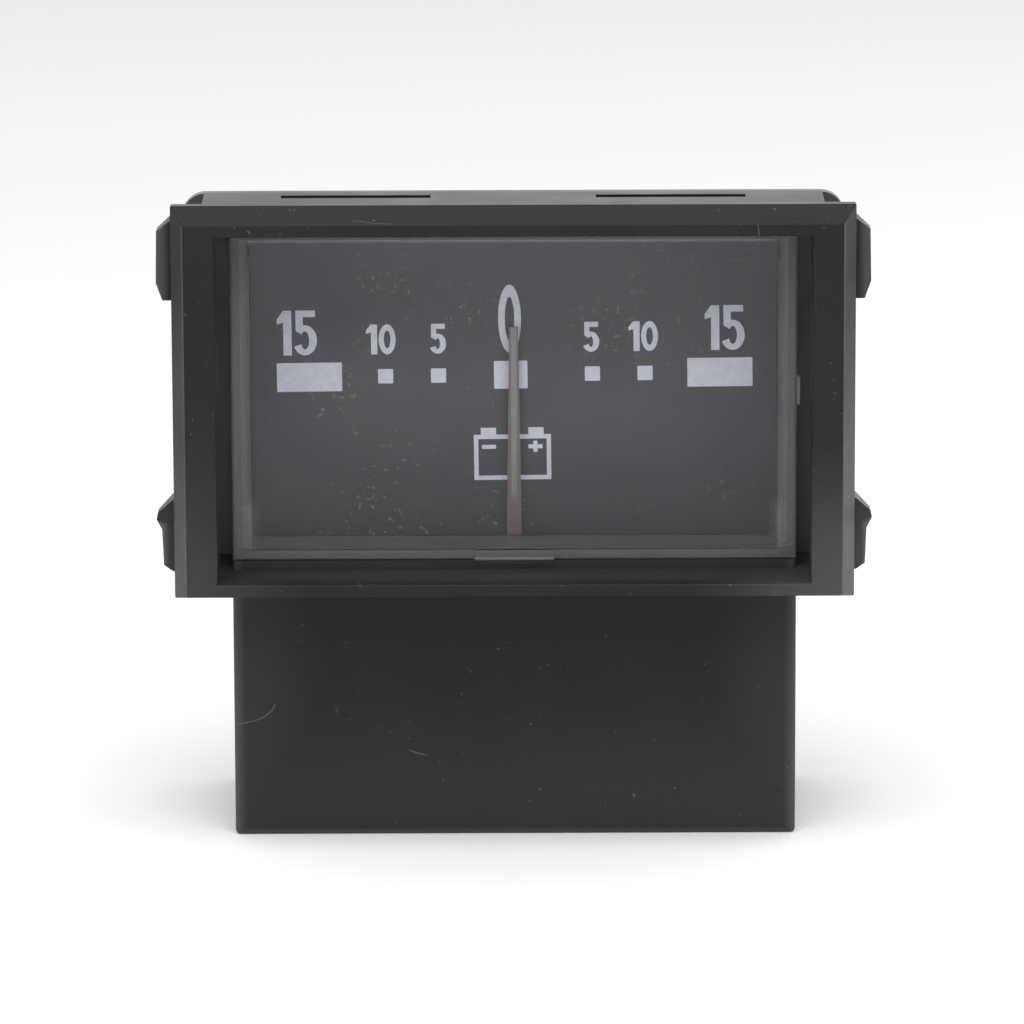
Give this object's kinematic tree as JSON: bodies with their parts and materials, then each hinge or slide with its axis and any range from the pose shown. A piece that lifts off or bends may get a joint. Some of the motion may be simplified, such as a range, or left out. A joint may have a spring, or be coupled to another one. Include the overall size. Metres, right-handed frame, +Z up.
{
  "type": "battery current gauge",
  "caption": "Snap-in rectangular panel gauge with a recessed clear lens, a centre-zero dial and pointer, sprung side catches and a housing with blade terminals.",
  "frame": {"origin": "middle of the underside of the housing", "axes": "+X to the right seen from the front, +Y to the rear, +Z up"},
  "size_m": [0.0728, 0.0406, 0.0663],
  "materials": {
    "frame": "moulded black, semi-matt",
    "lens": "clear polished plastic",
    "housing": "moulded black",
    "cover": "moulded black",
    "screws": "zinc plated",
    "dial": "matt black print",
    "pins": "plain",
    "steel": "plain",
    "pointer": "satin, warm grey",
    "hub": "moulded",
    "brass": "turned",
    "magnet": "sintered",
    "bracket": "zinc plated",
    "copper": "rolled copper",
    "rivets": "nickel-free brass",
    "terminal": "tin plated",
    "print": "pad-printed ink, bluish white"
  },
  "bodies": {
    "gauge": {"front_frame": "frame", "lens": "lens", "housing": "housing", "rear_cover": "cover", "cover_screws": "screws", "dial_plate": "dial", "pointer_stops": "pins", "dial_spacers": "steel", "dial_screws": "screws", "movement_bracket": "bracket", "front_bearing": "brass", "rear_bearing": "brass", "control_magnet": "magnet", "current_strap": "copper", "strap_carrier": "hub", "terminal_rivets": "rivets", "pillars": "brass", "bracket_screws": "screws", "pillar_screws": "screws", "terminal_left": "terminal", "terminal_right": "terminal"},
    "pointer": {"pointer_blade": "pointer", "pointer_hub": "hub", "balance_weight": "brass", "spindle": "steel", "armature": "magnet"},
    "catch_upper_left": {"catch_upper_left": "frame"},
    "catch_upper_right": {"catch_upper_right": "frame"},
    "catch_lower_left": {"catch_lower_left": "frame"},
    "catch_lower_right": {"catch_lower_right": "frame"}
  },
  "joints": [
    {"name": "pointer_swing", "type": "hinge", "parent": "gauge", "child": "pointer", "pos_m": [0, -0.00375, 0.0173], "axis": [0, 1, 0], "range_deg": [-38, 38], "stiffness_Nm_per_rad": 0.0002},
    {"name": "catch_upper_left_press", "type": "hinge", "parent": "gauge", "child": "catch_upper_left", "pos_m": [-0.033, -0.00675, 0.0603], "axis": [0, 0, 1], "range_deg": [0, 17], "stiffness_Nm_per_rad": 0.04},
    {"name": "catch_upper_right_press", "type": "hinge", "parent": "gauge", "child": "catch_upper_right", "pos_m": [0.033, -0.00675, 0.0603], "axis": [0, 0, -1], "range_deg": [0, 17], "stiffness_Nm_per_rad": 0.04},
    {"name": "catch_lower_left_press", "type": "hinge", "parent": "gauge", "child": "catch_lower_left", "pos_m": [-0.033, -0.00675, 0.0319], "axis": [0, 0, 1], "range_deg": [0, 17], "stiffness_Nm_per_rad": 0.04},
    {"name": "catch_lower_right_press", "type": "hinge", "parent": "gauge", "child": "catch_lower_right", "pos_m": [0.033, -0.00675, 0.0319], "axis": [0, 0, -1], "range_deg": [0, 17], "stiffness_Nm_per_rad": 0.04}
  ]
}
